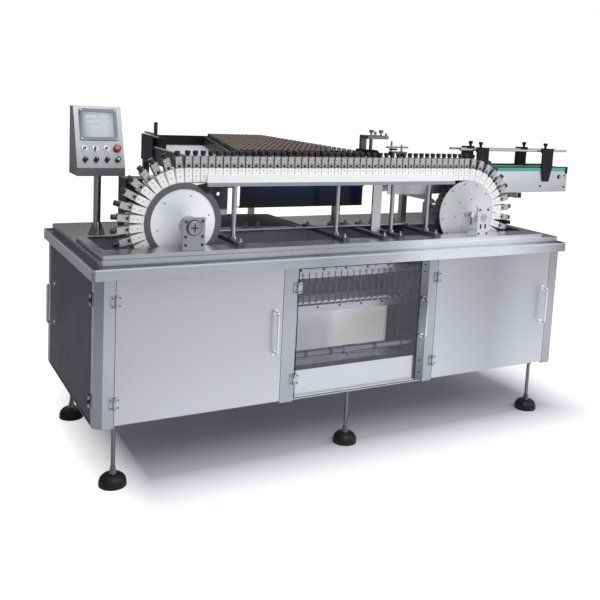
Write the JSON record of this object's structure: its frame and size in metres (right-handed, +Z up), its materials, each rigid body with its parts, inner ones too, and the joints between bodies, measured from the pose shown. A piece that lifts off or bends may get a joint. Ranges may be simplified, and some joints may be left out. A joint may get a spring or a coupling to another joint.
{
  "type": "bottle washing machine",
  "caption": "Free-standing washing machine with an endless chain of bottle grippers over a tub, cabinet with doors, feed table, belt conveyor and control box.",
  "frame": {"origin": "centre of the bounding box at floor level", "axes": "+X along the front from left to right, +Y from the front to the rear, +Z up"},
  "size_m": [2.523, 1.477, 1.396],
  "materials": {
    "amber_glass": "amber glass",
    "apron_navy": "glossy dark blue paint",
    "belt_teal": "teal belt",
    "black_plastic": "black plastic",
    "cast_grey": "grey painted casting",
    "chain_steel": "oiled steel",
    "deck_white": "white deck plate",
    "glass_clear": "clear sheet",
    "green_plastic": "green plastic",
    "head_grey": "machined aluminium",
    "nylon_white": "white nylon",
    "red_plastic": "red plastic",
    "ring_grey": "grey anodised ring",
    "rubber_black": "moulded rubber",
    "screen_blue": "display glass",
    "spring_steel": "spring steel",
    "stainless_brushed": "brushed stainless sheet",
    "stainless_dark": "brushed stainless sheet in shade",
    "stainless_polished": "polished stainless",
    "wheel_aluminium": "turned aluminium",
    "white_enamel": "white enamel"
  },
  "bodies": {
    "machine": {"base_frame": "stainless_brushed", "cabinet_panels": "stainless_brushed", "worktop": "stainless_brushed", "wash_tank": "stainless_brushed", "foot_spindles": "stainless_polished", "foot_pads": "rubber_black", "fixed_hinges": "stainless_polished", "shaft_bearings": "stainless_polished", "tension_bearing": "white_enamel", "drive_gearbox": "cast_grey", "roller_chain": "chain_steel", "gripper_bodies": "nylon_white", "gripper_jaws": "spring_steel", "gripped_bottles": "amber_glass", "guide_rails": "nylon_white", "guide_bars": "stainless_brushed", "rail_posts": "stainless_polished", "cross_bars": "black_plastic", "spray_header": "stainless_brushed", "water_pipe": "stainless_brushed", "water_pump": "cast_grey", "hmi_post": "stainless_polished", "hmi_box": "white_enamel", "hmi_bezel": "black_plastic", "hmi_screen": "screen_blue", "feed_frame": "stainless_brushed", "feed_deck": "deck_white", "feed_apron": "apron_navy", "feed_rails": "black_plastic", "feed_bottles": "amber_glass", "transfer_head": "head_grey", "conveyor_frame": "stainless_brushed", "conveyor_belt": "belt_teal", "guide_rods": "stainless_polished", "guide_brackets": "black_plastic"},
    "left_door": {"left_door": "stainless_brushed", "left_door_handle": "stainless_polished"},
    "window_door": {"window_pane": "glass_clear", "window_stile": "stainless_brushed"},
    "right_door": {"right_door": "stainless_brushed", "right_door_handle": "stainless_polished"},
    "side_door": {"side_door": "stainless_dark", "side_door_handle": "stainless_polished"},
    "left_wheel_set": {"left_wheel": "wheel_aluminium", "left_wheel_ring": "ring_grey", "left_shaft": "stainless_polished"},
    "right_wheel_set": {"right_wheel": "wheel_aluminium", "right_shaft": "stainless_polished"},
    "valve_lever": {"valve_lever": "red_plastic"},
    "start_button": {"start_button": "green_plastic"},
    "key_switch": {"key_switch": "green_plastic"},
    "lamp_button": {"lamp_button": "red_plastic"},
    "emergency_stop": {"emergency_stop": "red_plastic"},
    "selector_a": {"selector_a": "black_plastic"},
    "selector_b": {"selector_b": "black_plastic"},
    "selector_c": {"selector_c": "black_plastic"},
    "speed_knob": {"speed_knob": "black_plastic"},
    "star_wheel": {"star_wheel": "nylon_white"},
    "drive_pulley": {"drive_pulley": "wheel_aluminium"},
    "tail_pulley": {"tail_pulley": "wheel_aluminium"}
  },
  "joints": [
    {"name": "left_door_hinge", "type": "hinge", "parent": "machine", "child": "left_door", "pos_m": [-1.1535, -0.707, 0.523], "axis": [0, 0, -1], "range_deg": [0, 110]},
    {"name": "window_hinge", "type": "hinge", "parent": "machine", "child": "window_door", "pos_m": [-0.4175, -0.707, 0.523], "axis": [0, 0, -1], "range_deg": [0, 110]},
    {"name": "right_door_hinge", "type": "hinge", "parent": "machine", "child": "right_door", "pos_m": [0.2825, -0.707, 0.523], "axis": [0, 0, -1], "range_deg": [0, 110]},
    {"name": "side_door_hinge", "type": "hinge", "parent": "machine", "child": "side_door", "pos_m": [-1.23, -0.6405, 0.523], "axis": [0, 0, 1], "range_deg": [0, 110]},
    {"name": "left_wheel_turn", "type": "hinge", "parent": "machine", "child": "left_wheel_set", "pos_m": [-0.8555, -0.5515, 0.972], "axis": [0, 1, 0], "continuous": true},
    {"name": "right_wheel_turn", "type": "hinge", "parent": "machine", "child": "right_wheel_set", "pos_m": [0.5415, -0.5515, 0.972], "axis": [0, 1, 0], "continuous": true},
    {"name": "valve_turn", "type": "hinge", "parent": "machine", "child": "valve_lever", "pos_m": [-0.1355, -0.6595, 0.3957], "axis": [0, 0, 1], "range_deg": [0, 90]},
    {"name": "star_wheel_turn", "type": "hinge", "parent": "machine", "child": "star_wheel", "pos_m": [0.0731, -0.412, 1.24226], "axis": [0, 0, 1], "continuous": true},
    {"name": "drive_pulley_turn", "type": "hinge", "parent": "machine", "child": "drive_pulley", "pos_m": [1.2112, -0.4065, 1.13396], "axis": [0, 1, 0], "continuous": true},
    {"name": "tail_pulley_turn", "type": "hinge", "parent": "machine", "child": "tail_pulley", "pos_m": [0.2008, -0.4065, 1.13396], "axis": [0, 1, 0], "continuous": true},
    {"name": "start_press", "type": "slide", "parent": "machine", "child": "start_button", "axis": [0, 0.9362, -0.3515], "range_m": [0, 0.003], "stiffness_N_per_m": 400},
    {"name": "lamp_press", "type": "slide", "parent": "machine", "child": "lamp_button", "axis": [0, 0.9362, -0.3515], "range_m": [0, 0.003], "stiffness_N_per_m": 400},
    {"name": "stop_press", "type": "slide", "parent": "machine", "child": "emergency_stop", "axis": [0, 0.9362, -0.3515], "range_m": [0, 0.003], "stiffness_N_per_m": 400},
    {"name": "key_turn", "type": "hinge", "parent": "machine", "child": "key_switch", "pos_m": [-1.11151, -0.19215, 1.22915], "axis": [0, -0.9362, 0.3515], "range_deg": [0, 90]},
    {"name": "selector_a_turn", "type": "hinge", "parent": "machine", "child": "selector_a", "pos_m": [-1.15536, -0.20899, 1.18432], "axis": [0, -0.9362, 0.3515], "range_deg": [-45, 45]},
    {"name": "selector_b_turn", "type": "hinge", "parent": "machine", "child": "selector_b", "pos_m": [-1.11151, -0.20899, 1.18432], "axis": [0, -0.9362, 0.3515], "range_deg": [-45, 45]},
    {"name": "selector_c_turn", "type": "hinge", "parent": "machine", "child": "selector_c", "pos_m": [-1.06728, -0.20899, 1.18432], "axis": [0, -0.9362, 0.3515], "range_deg": [-45, 45]},
    {"name": "speed_turn", "type": "hinge", "parent": "machine", "child": "speed_knob", "pos_m": [-1.02344, -0.20899, 1.18432], "axis": [0, -0.9362, 0.3515], "range_deg": [-150, 150]}
  ],
  "couplings": [
    {"joint": "right_wheel_turn", "follows": "left_wheel_turn", "ratio": 1},
    {"joint": "tail_pulley_turn", "follows": "drive_pulley_turn", "ratio": 1}
  ]
}
